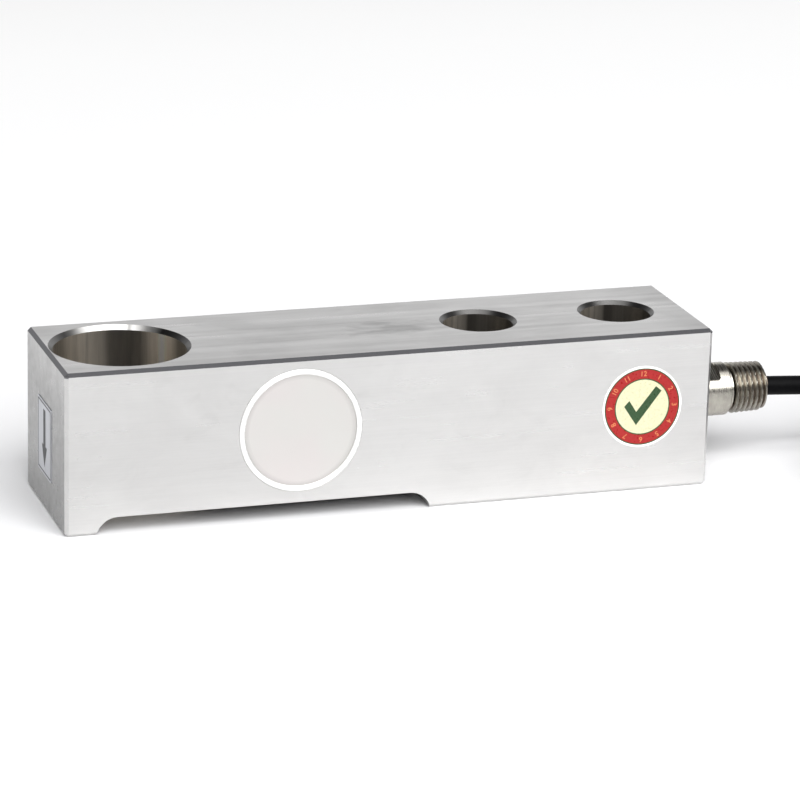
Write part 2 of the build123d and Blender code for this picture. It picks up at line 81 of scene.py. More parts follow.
# The cable adapter's own sizes
COLLAR_END_X = BEAM_HIGH.x + 12.5 * MM
COLLAR_BEVEL = 0.25 * MM
COLLAR_MIDDLE_ROW = 6 * MM
FLAT_END_X = COLLAR_END_X - 2.9 * MM
FLAT_ANGLES = (radians(115), radians(295))
FLAT_DISTANCE = 6.2 * MM
FLAT_HALF_WIDTH = 3.7 * MM
FLAT_CORNER = 1.6 * MM
CLOSE_ROWS = 24
CLOSE_ROWS_LENGTH = 1.7 * MM
THREAD_START_X = COLLAR_END_X + 0.9 * MM
THREAD_ROOT_R = 5.0 * MM
FLANK_STEEPNESS = 1.1
CREST_FLAT = 0.05
UNDERCUT_R = 5.9 * MM
CREST_R = 6.86 * MM
PIPE_TAPER = 1 / 16
RUN_IN_SLOPE = 2.0
LEAD_CHAMFER = 0.9 * MM
SPIGOT_R = 4.95 * MM
ENTRY_BORE_R = 4.2 * MM
MOUTH_BORE_R = 2.95 * MM
MOUTH_DEPTH = 3 * MM

# The cover welds' beads: their crown, how deep they reach, and how their ripples vary
BEAD_CROWN = 0.2 * MM
BEAD_DEPTH = 0.7 * MM
COVER_CLEARANCE = 0.04 * MM
RIPPLE_LENGTH = 0.62 * MM
RIPPLE_WIDTH_SHARE = 0.96
RIPPLE_LIFT_SHARE = 0.86
SMALLEST_RIPPLE = (0.92, 0.94, 0.75)
LARGEST_RIPPLE = (1.06, 1.05, 1.2)

# The prints on the label and the sticker
INK_THICKNESS = 0.02 * MM
ARROW_STEM_HALF = 1.15 * MM
ARROW_HEAD = 5.7 * MM
BORDER_INSET = 0.5 * MM
BORDER_LINE = 0.35 * MM
STICKER_LAYER = 0.01 * MM
STICKER_LINE = 0.3 * MM
NUMBER_SIZE = 1.9 * MM
NUMBER_WEIGHT = 0.012
NUMBER_HALF_THICKNESS = 0.005 * MM
TICK = [(-5.0, 0.3), (-1.5, -4.9), (5.2, 4.0), (3.6, 5.3), (-1.6, -1.3), (-3.6, 1.8)]

# The room's brightness from straight ahead to straight up, and the two soft boxes
ROOM_TONES = ((0.0, 1.0), (0.20, 1.0), (0.36, 0.95), (0.50, 0.30), (0.70, 0.08), (1.0, 0.05))
FRONT_BOX = (4.5, 3.5)
OVERHEAD_BOX = (1.5, 0.42)
OVERHEAD_PLACE = (0.15, -0.19, 1.2)

# How bright the bores' far walls are painted, from their right side round to their left one: painted
# reflections and shade
LOAD_WALL_PAINTED_LIGHT = (
    (0.04, 0.35), (0.10, 0.55), (0.15, 0.90), (0.22, 1.0), (0.28, 0.70), (0.32, 0.26), (0.37, 0.14),
    (0.42, 0.13), (0.47, 0.20), (0.52, 0.50), (0.59, 0.95), (0.66, 1.0), (0.71, 0.75), (0.80, 0.42),
    (0.92, 0.40),
)
BOLT_WALL_PAINTED_LIGHT = (
    (0.04, 0.18), (0.15, 0.22), (0.31, 0.22), (0.42, 0.10), (0.48, 0.12), (0.55, 0.60), (0.62, 1.0),
    (0.75, 0.9), (0.90, 0.45),
)

# How bright the load bore's rim is painted, the same way round: a painted highlight
RIM_PAINTED_HIGHLIGHT = (
    (0.0, 0.10), (0.21, 0.12), (0.25, 0.90), (0.36, 1.0), (0.378, 0.45), (0.395, 1.0), (0.57, 1.0),
    (0.66, 0.70), (0.72, 0.25), (1.0, 0.10),
)

# Middle of the dark smear on the top face, and its width over its length
SMEAR_X = -42 * MM
SMEAR_Y = -1 * MM
SMEAR_SQUEEZE = 0.4

# Where tones begin and end: painted shade on the top, the ends, the relief and the covers, the dark edges,
# oil in the thread, and painted light on the floor
TOP_SHADE_START_X = 24 * MM
END_SHADE_START_Z = 31 * MM
EDGE_DEPTH = 1.2 * MM
ABOVE_PADS_Z = 2 * MM
COVER_SHADE_R = (13.3 * MM, 14.6 * MM)
OIL_R = (5.75 * MM, 6.55 * MM)
FLOOR_PALER_Y = (0.05, 0.5)

# The cable's route where it isn't coiled, repeated from the solids
CABLE_EXIT = (0.0461, 0.0, 0.0190)
LEAD_IN_ROUTE = (
    CABLE_EXIT,
    (0.0540, 0.0, 0.0190),
    (0.0600, 0.0, 0.0190),
    (0.0720, 0.00005, 0.01825),
    (0.0840, 0.0001, 0.0175),
    (0.0980, 0.0002, 0.0120),
    (0.1110, 0.0003, 0.0049),
)
TAIL_ROUTE = (
    (0.1704, -0.0594, 0.0310),
    (0.1634, -0.0715, 0.0340),
    (0.1513, -0.0785, 0.0358),
    (0.1345, -0.0779, 0.0358),
)
COIL_CENTRE_X = 0.1250
COIL_FIRST_Z = 0.00345

# The tie that holds the tail down: its angle round the coil, and where the tail crosses it
TAIL_TIE_ANGLE = radians(300)
TAIL_CROSSING = (4.5 * MM, 35.8 * MM)
TIE_WIDTH = 4.6 * MM
TIE_THICKNESS = 0.8 * MM
TIE_GAP = 0.05 * MM
TIE_HEAD = 5.2 * MM
TIE_HEAD_WIDTH = TIE_WIDTH + 1.2 * MM
TIE_HEAD_CORNER = 0.9 * MM

# Plain surfaces by node: material, colour, roughness, grain in millimetres, and what differs from the usual
FAR_END_FINISHES = {
    "cable_end_sleeve": ("sleeve_plastic", (0.016, 0.016, 0.017), 0.5, 0.5, {}),
    "red_lead": ("red_insulation", (0.45, 0.012, 0.010), 0.32, 2.0, {}),
    "black_lead": ("black_insulation", (0.012, 0.012, 0.012), 0.32, 2.0, {}),
    "green_lead": ("green_insulation", (0.012, 0.20, 0.045), 0.32, 2.0, {}),
    "white_lead": ("white_insulation", (0.78, 0.78, 0.75), 0.32, 2.0, {}),
    "shield_drain tinned_tips": (
        "tinned_copper", (0.74, 0.73, 0.70), 0.3, 0.3, {"depth": 0.04, "metallic": 1.0}
    ),
}
ADAPTER_FINISHES = {
    "cable_grommet": ("grommet_rubber", (0.012, 0.012, 0.012), 0.6, 0.7, {}),
    "entry_potting": ("potting_resin", (0.02, 0.02, 0.022), 0.22, 2.5, {}),
}
INNER_FINISHES = {
    "front_gauge_film rear_gauge_film": ("gauge_film", (0.46, 0.22, 0.035), 0.35, 1.2, {"depth": 0.01}),
    "front_gauge_grids rear_gauge_grids": (
        "gauge_foil", (0.60, 0.52, 0.42), 0.3, 0.5, {"depth": 0.005, "metallic": 1.0}
    ),
    "front_terminal_strip rear_terminal_strip balance_board": (
        "board_laminate", (0.02, 0.13, 0.05), 0.35, 0.8, {"depth": 0.02}
    ),
    "front_terminal_pads front_gauge_leads rear_terminal_pads rear_gauge_leads": (
        "copper_pads", (0.72, 0.38, 0.20), 0.28, 0.4, {"depth": 0.01, "metallic": 1.0}
    ),
    "balance_resistors": ("resistor_ceramic", (0.02, 0.02, 0.02), 0.5, 0.3, {}),
    "bridge_wires cross_wires": ("wire_jacket", (0.72, 0.72, 0.69), 0.35, 1.5, {}),
}


# Sizes and colours that a user would change


def length_setting(name, description, default):
    return bpy.props.FloatProperty(name=name, description=description, default=default, unit="LENGTH")


def angle_setting(name, description, degrees):
    return bpy.props.FloatProperty(
        name=name, description=description, default=radians(degrees), subtype="ANGLE", unit="ROTATION"
    )


def number_setting(name, description, default, **limits):
    return bpy.props.FloatProperty(name=name, description=description, default=default, **limits)


def count_setting(name, description, default, **limits):
    return bpy.props.IntProperty(name=name, description=description, default=default, **limits)


def colour_setting(name, description, default):
    return bpy.props.FloatVectorProperty(name=name, description=description, default=default, subtype="COLOR")


class StageSettings(bpy.types.PropertyGroup):
    camera_place: bpy.props.FloatVectorProperty(
        name="Camera place",
        description="Where the camera stands",
        default=(-0.33619, -0.88448, 0.32191),
        subtype="TRANSLATION",
        unit="LENGTH",
    )
    camera_heading: angle_setting(
        "Camera heading", "How far the camera is turned about the vertical", -18.5303
    )
    camera_tilt: angle_setting("Camera tilt", "How far the camera looks down", 17.8013)
    camera_roll: angle_setting(
        "Camera roll", "How far the camera is turned about its own line of sight", 1.57
    )
    lens: number_setting("Lens", "Focal length on a 36 mm sensor, in millimetres", 170.479, min=20)
    floor_colour: colour_setting("Floor colour", "Colour of the pale floor", (0.90, 0.90, 0.91))
    far_floor_colour: colour_setting(
        "Far floor colour", "Colour of the floor behind the object", (0.99, 0.99, 0.99)
    )
    floor_size: length_setting("Floor size", "Length of the floor's sides", 12.0)
    key_power: number_setting("Front light", "Power of the large soft box in front, in watts", 276.0)
    key_distance: length_setting("Front light distance", "How far the large soft box stands", 4.0)
    key_heading: angle_setting(
        "Front light heading", "How far the large soft box stands to the right of the object's front", 2
    )
    key_height: angle_setting(
        "Front light elevation", "How far the middle of the large soft box stands above the floor", 44
    )
    overhead_power: number_setting("Overhead light", "Power of the soft box overhead, in watts", 3.2)
    room_light: number_setting("Room light", "Brightness of the room around the object", 1.0)


class SteelSettings(bpy.types.PropertyGroup):
    ground_colour: colour_setting("Ground steel", "Colour of the beam's ground faces", (0.66, 0.655, 0.645))
    bore_colour: colour_setting("Bored steel", "Colour of the walls of the bores", (0.98, 0.90, 0.79))
    relief_colour: colour_setting(
        "Milled relief", "Colour of the relief under the beam", (0.10, 0.098, 0.095)
    )
    edge_colour: colour_setting(
        "Broken edges", "Colour of the chamfers along the top's sides", (0.066, 0.066, 0.07)
    )
    end_edge_colour: colour_setting(
        "End edges", "Colour of the chamfers along the top's ends", (0.22, 0.22, 0.23)
    )
    bright_rim_colour: colour_setting(
        "Load bore rim", "Colour of the load bore's fresh rims", (0.80, 0.79, 0.77)
    )
    dull_rim_colour: colour_setting(
        "Bolt bore rims", "Colour of the bolt bores' dull rims", (0.13, 0.128, 0.125)
    )
    cover_colour: colour_setting(
        "Cavity covers", "Colour of the two thin round covers", (0.70, 0.69, 0.665)
    )
    bloom_colour: colour_setting(
        "Cover bloom", "Colour of the warm bloom on the covers", (0.71, 0.675, 0.66)
    )
    turned_colour: colour_setting("Turned steel", "Colour of the cable adapter", (0.40, 0.375, 0.34))
    mottle_colour: colour_setting("Turned steel mottle", "Colour of its paler patches", (0.55, 0.54, 0.47))
    root_colour: colour_setting(
        "Thread roots", "Colour of the oil that stays in the thread", (0.15, 0.12, 0.095)
    )


class WeldSettings(bpy.types.PropertyGroup):
    ripples: count_setting("Ripples", "Number of ripples round each cover weld", 190, min=12)
    ripple_height: length_setting("Ripple height", "How far each ripple stands over the bead", 0.10 * MM)
    colour: colour_setting("Weld colour", "Colour of the bright weld", (0.90, 0.90, 0.885))


class ThreadSettings(bpy.types.PropertyGroup):
    pitch: length_setting("Thread pitch", "Distance between crests", 1.411 * MM)
    depth: length_setting("Thread depth", "Height of the thread's flanks", 0.85 * MM)
    rows_per_pitch: count_setting("Rows in a pitch", "Rows of faces from one crest to the next", 18, min=6)
    sides: count_setting("Sides", "Faces round the adapter", 144, min=24)


class LabelSettings(bpy.types.PropertyGroup):
    foil_colour: colour_setting("Foil", "Colour of the load direction label", (0.52, 0.53, 0.56))
    ink_colour: colour_setting("Ink", "Colour of the arrow and the border", (0.02, 0.02, 0.022))
    arrow_length: length_setting("Arrow length", "From the arrow's tail to its point", 15.2 * MM)
    arrow_width: length_setting("Arrow width", "Width of the arrow's head", 5.4 * MM)


class StickerSettings(bpy.types.PropertyGroup):
    film_colour: colour_setting("Film", "Colour of the round sticker's film", (0.93, 0.93, 0.90))
    ring_colour: colour_setting("Ring", "Colour of the round sticker's ring", (0.34, 0.011, 0.011))
    centre_colour: colour_setting("Centre", "Colour of the round sticker's centre", (0.66, 0.64, 0.42))
    mark_colour: colour_setting("Mark", "Colour of the tick and the outlines", (0.025, 0.065, 0.022))
    number_colour: colour_setting("Numbers", "Colour of the numbers on the ring", (0.62, 0.20, 0.08))
    ring_radius: length_setting("Ring radius", "Outside of the coloured ring", 10.19 * MM)
    centre_radius: length_setting("Centre radius", "Outside of the pale centre", 7.45 * MM)


class CableSettings(bpy.types.PropertyGroup):
    diameter: length_setting("Diameter", "Outside of the cable's jacket", 5.2 * MM)
    length: length_setting("Length", "Real length of the cable", 6.1)
    coil_rows: count_setting("Rows", "Layers of turns in the coil", 6)
    row_turns: number_setting("Turns in a row", "Turns in each layer", 4.5)
    turn_pitch: length_setting("Turn pitch", "Distance between turns", 5.3 * MM)
    coil_radius: length_setting("Coil radius", "Radius at the middle of the turns", 33.5 * MM)
    jacket_colour: colour_setting("Jacket", "Colour of the cable's jacket", (0.004, 0.004, 0.0045))
    tie_colour: colour_setting("Ties", "Colour of the ties round the coil", (0.02, 0.02, 0.021))


SETTINGS = {
    "load_cell_stage": StageSettings,
    "load_cell_steel": SteelSettings,
    "load_cell_weld": WeldSettings,
    "load_cell_thread": ThreadSettings,
    "load_cell_label": LabelSettings,
    "load_cell_sticker": StickerSettings,
    "load_cell_cable": CableSettings,
}


# Meshes


def placed(name, data):
    """A new object in the scene."""
    piece = bpy.data.objects.new(name, data)
    bpy.context.scene.collection.objects.link(piece)
    return piece


def show(name, mesh, material, slot):
    piece = placed(name, mesh)
    mesh.materials.clear()
    mesh.materials.append(material)
    if slot is not None:
        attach(piece, "root")
    return piece


def mesh_from(name, points, faces, smooth=True):
    mesh = bpy.data.meshes.new(name)
    mesh.from_pydata([tuple(point) for point in points], [], faces)
    for polygon in mesh.polygons:
        polygon.use_smooth = smooth
    return mesh


def outward(mesh):
    shape = bmesh.new()
    shape.from_mesh(mesh)
    bmesh.ops.remove_doubles(shape, verts=shape.verts, dist=1e-7)
    bmesh.ops.recalc_face_normals(shape, faces=shape.faces)
    shape.to_mesh(mesh)
    shape.free()
    return mesh


def ring_faces(rows, sides):
    faces = []
    for row in range(rows):
        after = (row + 1) % rows
        for side in range(sides):
            beside = (side + 1) % sides
            faces.append(
                (row * sides + side, after * sides + side, after * sides + beside, row * sides + beside)
            )
    return faces


def flat_print(name, outlines, place, lift, thickness, material, slot):
    """Ink on a label: closed outlines in the label's plane, the first one outside and the others holes."""
    curve = bpy.data.curves.new(name, "CURVE")
    curve.dimensions = "2D"
    curve.fill_mode = "BOTH"
    curve.extrude = thickness / 2
    for outline in outlines:
        spline = curve.splines.new("POLY")
        spline.points.add(len(outline) - 1)
        for point, (across, up) in zip(spline.points, outline):
            point.co = (across, up, 0, 1)
        spline.use_cyclic_u = True
    carrier = placed(name, curve)
    mesh = plain_mesh(carrier, name)
    mesh.transform(place @ Matrix.Translation((0, 0, lift + thickness / 2)))
    return show(name, outward(mesh), material, slot)


def plain_mesh(carrier, name):
    """The finished mesh of a curve, a text or an object with modifiers, which is then removed."""
    graph = bpy.context.evaluated_depsgraph_get()
    mesh = bpy.data.meshes.new_from_object(carrier.evaluated_get(graph))
    mesh.name = name
    bpy.data.objects.remove(carrier)
    return mesh


def circle_outline(radius, count=96):
    return [(radius * cos(2 * pi * k / count), radius * sin(2 * pi * k / count)) for k in range(count)]


# Materials


def feed(tree, socket, value):
    """Links a socket to another one, or sets it to a value."""
    if isinstance(value, bpy.types.NodeSocket):
        tree.links.new(value, socket)
    else:
        socket.default_value = value


def add_node(tree, kind, inputs=None, **settings):
    made = tree.nodes.new(kind)
    for name, value in settings.items():
        setattr(made, name, value)
    for name, value in (inputs or {}).items():
        feed(tree, made.inputs[name], value)
    return made


def start_material(name, colour, metallic=0.0, roughness=0.5, specular=0.5):
    material = bpy.data.materials.new(name)
    material.use_nodes = True
    material.diffuse_color = (*colour[:3], 1)
    shader = material.node_tree.nodes["Principled BSDF"]
    shader.inputs["Base Color"].default_value = (*colour[:3], 1)
    shader.inputs["Metallic"].default_value = metallic
    shader.inputs["Roughness"].default_value = roughness
    shader.inputs["Specular IOR Level"].default_value = specular
    return material, material.node_tree


def wired(material, colour=None, rough=None, normal=None):
    """The material, with what is given linked to its shader."""
    tree = material.node_tree
    for name, value in (("Base Color", colour), ("Roughness", rough), ("Normal", normal)):
        if value is not None:
            tree.links.new(value, tree.nodes["Principled BSDF"].inputs[name])
    return material


def object_place(tree):
    return add_node(tree, "ShaderNodeTexCoord").outputs["Object"]


def arithmetic(tree, operation, first, second=0.0):
    made = add_node(tree, "ShaderNodeMath", operation=operation)
    feed(tree, made.inputs[0], first)
    feed(tree, made.inputs[1], second)
    return made.outputs[0]


def product(tree, first, *others):
    for other in others:
        first = arithmetic(tree, "MULTIPLY", first, other)
    return first


def outside(tree, mask):
    """1 where a mask is 0, and 0 where it is 1."""
    return arithmetic(tree, "SUBTRACT", 1.0, mask)


def cloud(tree, place, stretch, detail=3.0, roughness=0.5, distortion=0.0):
    """Noise whose grains are one over stretch metres long in each direction."""
    mapped = add_node(tree, "ShaderNodeMapping", {"Vector": place, "Scale": stretch}, vector_type="POINT")
    shape = {"Scale": 1.0, "Detail": detail, "Roughness": roughness, "Distortion": distortion}
    return add_node(tree, "ShaderNodeTexNoise", {"Vector": mapped.outputs[0], **shape}).outputs["Fac"]


def spread(tree, value, low, high, to_low, to_high):
    """The value, carried from one range to another and held at its ends."""
    limits = {"From Min": low, "From Max": high, "To Min": to_low, "To Max": to_high}
    return add_node(tree, "ShaderNodeMapRange", {"Value": value, **limits}).outputs["Result"]


def from_noise(tree, noise, to_low, to_high):
    """Noise, most of which lies between 0.3 and 0.7, carried to another range."""
    return spread(tree, noise, 0.3, 0.7, to_low, to_high)


def blend_colour(tree, factor, first, second, mode="MIX"):
    made = add_node(tree, "ShaderNodeMix", data_type="RGBA", blend_type=mode)
    feed(tree, made.inputs[0], factor)
    for socket, value in ((made.inputs[6], first), (made.inputs[7], second)):
        linked = isinstance(value, bpy.types.NodeSocket)
        feed(tree, socket, value if linked else (*value[:3], 1))
    return made.outputs[2]


def blend_value(tree, factor, first, second):
    return arithmetic(tree, "ADD", product(tree, outside(tree, factor), first), product(tree, factor, second))


def shaded(tree, colour, shade):
    """A colour times a grey level."""
    return blend_colour(tree, 1.0, colour, grey(tree, shade), "MULTIPLY")


def grey(tree, value):
    return add_node(tree, "ShaderNodeCombineColor", {"Red": value, "Green": value, "Blue": value}).outputs[0]


def bump(tree, height, distance, strength):
    inputs = {"Height": height, "Distance": distance, "Strength": strength}
    return add_node(tree, "ShaderNodeBump", inputs).outputs[0]


def parts_of(tree, vector):
    split = add_node(tree, "ShaderNodeSeparateXYZ", {"Vector": vector})
    return split.outputs[0], split.outputs[1], split.outputs[2]


def tones(tree, place, stops, blue=1.0):
    """A grey level that changes smoothly with place, which runs from 0 to 1."""
    ramp = add_node(tree, "ShaderNodeValToRGB", {"Fac": place})
    for where, _ in stops[1:-1]:
        ramp.color_ramp.elements.new(where)
    for element, (where, level) in zip(ramp.color_ramp.elements, stops):
        element.position = where
        element.color = (level, level, level * blue, 1)
    return ramp.outputs[0]


def faces_along(tree, axis):
    """1 on faces that look along an axis, 0 elsewhere."""
    normal = add_node(tree, "ShaderNodeNewGeometry").outputs["True Normal"]
    return arithmetic(tree, "GREATER_THAN", arithmetic(tree, "ABSOLUTE", parts_of(tree, normal)[axis]), 0.96)


def distance_from(tree, x, y, z, centre, axes):
    """Distance from an axis that runs through centre, measured across the two axes given."""
    across = [arithmetic(tree, "SUBTRACT", (x, y, z)[axis], centre[axis]) for axis in axes]
    squares = [product(tree, value, value) for value in across]
    return arithmetic(tree, "SQRT", arithmetic(tree, "ADD", *squares)), across


def ground_faces(tree, place, x, y, z, on_end, on_top):
    """Colour, roughness and grinding lines of the beam's flat faces."""
    # Grinding lines run along the beam, and up and down on its ends
    along = cloud(tree, place, (28, 2600, 2600), detail=4.0, roughness=0.6)
    upright = cloud(tree, place, (2600, 2600, 28), detail=4.0, roughness=0.6)
    lines = blend_value(tree, on_end, along, upright)
    bands = cloud(tree, place, (9, 420, 420), detail=3.0, roughness=0.55)
    patches = cloud(tree, place, (34, 70, 70), detail=5.0, roughness=0.62, distortion=0.6)
    smudges = cloud(tree, place, (75, 150, 150), detail=4.0, roughness=0.6, distortion=1.2)

    # The top has a dark smear and painted shade towards the cable, the ends have painted shade that is
    # darkest low down, and all the faces have painted light towards the cable
    top_painted_shade = product(tree, on_top, spread(tree, x, TOP_SHADE_START_X, BEAM_HIGH.x, 0.0, 0.15))
    smear_place = (SMEAR_X * SMEAR_SQUEEZE, SMEAR_Y, 0)
    smear_reach = arithmetic(
        tree,
        "ADD",
        distance_from(tree, product(tree, x, SMEAR_SQUEEZE), y, z, smear_place, (0, 1))[0],
        from_noise(tree, smudges, 3 * MM, -3 * MM),
    )
    smear = product(tree, on_top, spread(tree, smear_reach, 1 * MM, 6 * MM, 0.36, 0.0))
    # Painted shade on the ends, darkest low down
    end_painted_shade = product(tree, on_end, spread(tree, z, END_SHADE_START_Z, TOP_Z, 0.49, 0.27))
    shade = product(
        tree,
        spread(tree, patches, 0.36, 0.62, 0.94, 1.0),
        spread(tree, lines, 0.25, 0.75, 0.975, 1.02),
        spread(tree, smudges, 0.30, 0.44, 0.965, 1.0),
        # Painted light: the faces grow brighter towards the cable end
        spread(tree, x, BEAM_LOW.x, BEAM_HIGH.x, 0.97, 1.10),
        outside(tree, arithmetic(tree, "ADD", top_painted_shade, smear)),
        outside(tree, end_painted_shade),
    )
    colour = shaded(tree, bpy.context.scene.load_cell_steel.ground_colour, shade)
    rough = arithmetic(
        tree, "ADD", from_noise(tree, bands, 0.24, 0.36), spread(tree, patches, 0.35, 0.6, 0.05, 0.0)
    )
    return colour, rough, lines


def near_bores(tree, x, y, z):
    """Masks of all three bores and of the load bore, and the angle round the bore that a point is in."""
    in_bore = 0.0
    in_load_bore = 0.0
    wall_angle = 0.0
    for bore_x, radius in ((LOAD_BORE_X, LOAD_BORE_R), (-BOLT_X, BOLT_BORE_R), (BOLT_X, BOLT_BORE_R)):
        reach, (across, along_y) = distance_from(tree, x, y, z, (bore_x, 0, 0), (0, 1))
        inside = arithmetic(tree, "LESS_THAN", reach, radius + RIM_REACH)
        in_bore = arithmetic(tree, "MAXIMUM", in_bore, inside)
        angle = product(tree, arithmetic(tree, "ARCTAN2", along_y, across), inside)
        wall_angle = arithmetic(tree, "ADD", wall_angle, angle)
        if bore_x == LOAD_BORE_X:
            in_load_bore = inside
    return in_bore, in_load_bore, wall_angle


def bore_walls(tree, z, in_load_bore, on_rim, wall_angle):
    """Colour of the bores' streaked walls with painted reflections and shade, and of their rims with a
    painted highlight round the load bore's, and the walls' tool marks.
    """
    steel = bpy.context.scene.load_cell_steel
    wall = add_node(tree, "ShaderNodeCombineXYZ", {"X": wall_angle, "Y": 0.0, "Z": z}).outputs[0]
    round_wall = arithmetic(tree, "DIVIDE", wall_angle, pi)
    # Painted reflections and shade round the walls, by angle
    bolt_wall_painted_light = tones(tree, round_wall, BOLT_WALL_PAINTED_LIGHT)
    load_wall_painted_light = tones(tree, round_wall, LOAD_WALL_PAINTED_LIGHT)
    streaks = cloud(tree, wall, (2.6, 1, 9), detail=5.0, roughness=0.7)
    tool_marks = cloud(tree, wall, (0.5, 1, 5200), detail=2.0)
    wall_painted_light = blend_value(tree, in_load_bore, bolt_wall_painted_light, load_wall_painted_light)
    level = product(tree, spread(tree, streaks, 0.32, 0.68, 0.62, 1.3), wall_painted_light)
    colour = shaded(tree, steel.bore_colour, level)
    # Painted highlight round the load bore's rim
    rim_painted_highlight = blend_colour(tree, 1.0, steel.bright_rim_colour, tones(tree, round_wall, RIM_PAINTED_HIGHLIGHT), "MULTIPLY")
    rim_colour = blend_colour(tree, in_load_bore, steel.dull_rim_colour, rim_painted_highlight)
    return blend_colour(tree, on_rim, colour, rim_colour), tool_marks


def ground_steel():
    """Ground faces, dark narrow edges, a relief painted dark for shade, and bores with streaks and painted
    reflections down their walls.
    """
    steel = bpy.context.scene.load_cell_steel
    material, tree = start_material("ground_steel", steel.ground_colour, metallic=1.0, roughness=0.3)
    place = object_place(tree)
    x, y, z = parts_of(tree, place)
    on_end, on_side, on_top = (faces_along(tree, axis) for axis in range(3))
    colour, rough, lines = ground_faces(tree, place, x, y, z, on_end, on_top)
    normal_x, _, normal_z = parts_of(tree, add_node(tree, "ShaderNodeNewGeometry").outputs["True Normal"])

    near_bore, in_load_bore, wall_angle = near_bores(tree, x, y, z)
    in_bore = product(tree, near_bore, outside(tree, on_top))
    on_rim = product(tree, in_bore, arithmetic(tree, "GREATER_THAN", normal_z, 0.3))
    wall_colour, tool_marks = bore_walls(tree, z, in_load_bore, on_rim, wall_angle)

    # The edges along the top were broken by hand; they are coloured dark, darker along the sides than at the
    # ends
    flat = arithmetic(tree, "MAXIMUM", arithmetic(tree, "MAXIMUM", on_end, on_side), on_top)
    high = arithmetic(tree, "GREATER_THAN", z, TOP_Z - EDGE_DEPTH)
    edge = product(tree, outside(tree, flat), high, outside(tree, in_bore))
    facing_end = spread(tree, arithmetic(tree, "ABSOLUTE", normal_x), 0.3, 0.6, 0.0, 1.0)
    edge_shade = blend_colour(tree, facing_end, steel.edge_colour, steel.end_edge_colour)

    # The relief under the beam is painted dark as shade, to deepen the gap under the beam
    facing_down = arithmetic(tree, "LESS_THAN", normal_z, -0.5)
    raised = arithmetic(tree, "GREATER_THAN", z, ABOVE_PADS_Z)
    relief_shade_mask = product(tree, facing_down, raised, outside(tree, in_bore))

    colour = blend_colour(tree, edge, colour, edge_shade)
    colour = blend_colour(tree, in_bore, colour, wall_colour)
    colour = blend_colour(tree, relief_shade_mask, colour, steel.relief_colour)
    rough = blend_value(tree, edge, rough, 0.5)
    rough = blend_value(tree, in_bore, rough, 0.42)
    rough = blend_value(tree, on_rim, rough, 0.3)
    height = blend_value(tree, in_bore, lines, tool_marks)
    return wired(material, colour, rough, bump(tree, height, 0.004 * MM, 0.5))


def cover_steel():
    """Fine circles left by the lathe, over a faint warm bloom, with a painted shadow next to the weld."""
    steel = bpy.context.scene.load_cell_steel
    material, tree = start_material("cover_steel", steel.cover_colour, metallic=1.0, roughness=0.34)
    place = object_place(tree)
    x, y, z = parts_of(tree, place)
    reach = distance_from(tree, x, y, z, COVER_CENTRE, (0, 2))[0]
    turned = add_node(tree, "ShaderNodeCombineXYZ", {"X": reach, "Y": 0.0, "Z": 0.0}).outputs[0]
    circles = cloud(tree, turned, (3200, 1, 1), detail=4.0, roughness=0.7)
    bloom = cloud(tree, place, (55, 55, 55), detail=2.0)
    warm = spread(tree, bloom, 0.35, 0.65, 0.0, 1.0)
    colour = blend_colour(tree, warm, steel.cover_colour, steel.bloom_colour)
    # Painted shadow: the cover darkens towards its edge by the weld
    colour = shaded(tree, colour, spread(tree, reach, *COVER_SHADE_R, 1.0, 0.84))
    rough = from_noise(tree, circles, 0.28, 0.42)
    return wired(material, colour, rough, bump(tree, circles, 0.006 * MM, 0.5))


def weld_steel():
    weld = bpy.context.scene.load_cell_weld
    material, tree = start_material("weld_steel", weld.colour, metallic=0.75, roughness=0.45)
    grain = cloud(tree, object_place(tree), (1500, 1500, 1500), detail=3.0)
    rough = from_noise(tree, grain, 0.42, 0.6)
    return wired(material, rough=rough, normal=bump(tree, grain, 0.02 * MM, 0.4))


def turned_steel():
    """Steel with tool marks round the adapter's axis, and oil left in the roots of its thread."""
    steel = bpy.context.scene.load_cell_steel
    material, tree = start_material("turned_steel", steel.turned_colour, metallic=1.0, roughness=0.24)
    place = object_place(tree)
    x, y, z = parts_of(tree, place)
    reach = distance_from(tree, x, y, z, (0, 0, ADAPTER_Z), (1, 2))[0]
    marks = cloud(tree, place, (4200, 60, 60), detail=3.0, roughness=0.6)
    mottle = cloud(tree, place, (500, 500, 500), detail=3.0)
    in_thread = arithmetic(tree, "GREATER_THAN", x, THREAD_START_X)
    oil = product(tree, spread(tree, reach, *OIL_R, 1.0, 0.0), in_thread)
    pale = spread(tree, mottle, 0.35, 0.65, 0.0, 0.6)
    colour = blend_colour(tree, pale, steel.turned_colour, steel.mottle_colour)
    colour = blend_colour(tree, oil, colour, steel.root_colour)
    rough = from_noise(tree, marks, 0.18, 0.34)
    return wired(material, colour, rough, bump(tree, marks, 0.01 * MM, 0.5))


def label_foil():
    label = bpy.context.scene.load_cell_label
    material, tree = start_material("label_foil", label.foil_colour, metallic=0.85, roughness=0.38)
    grain = cloud(tree, object_place(tree), (900, 900, 60), detail=3.0)
    colour = shaded(tree, label.foil_colour, from_noise(tree, grain, 0.94, 1.05))
    return wired(material, colour, normal=bump(tree, grain, 0.01 * MM, 0.4))


def printed_ink(name, colour, roughness=0.45):
    material, tree = start_material(name, colour, roughness=roughness, specular=0.4)
    speckle = cloud(tree, object_place(tree), (1400, 1400, 1400), detail=3.0, roughness=0.7)
    tint = shaded(tree, colour, from_noise(tree, speckle, 0.86, 1.12))
    return wired(material, tint, from_noise(tree, speckle, roughness - 0.06, roughness + 0.08))


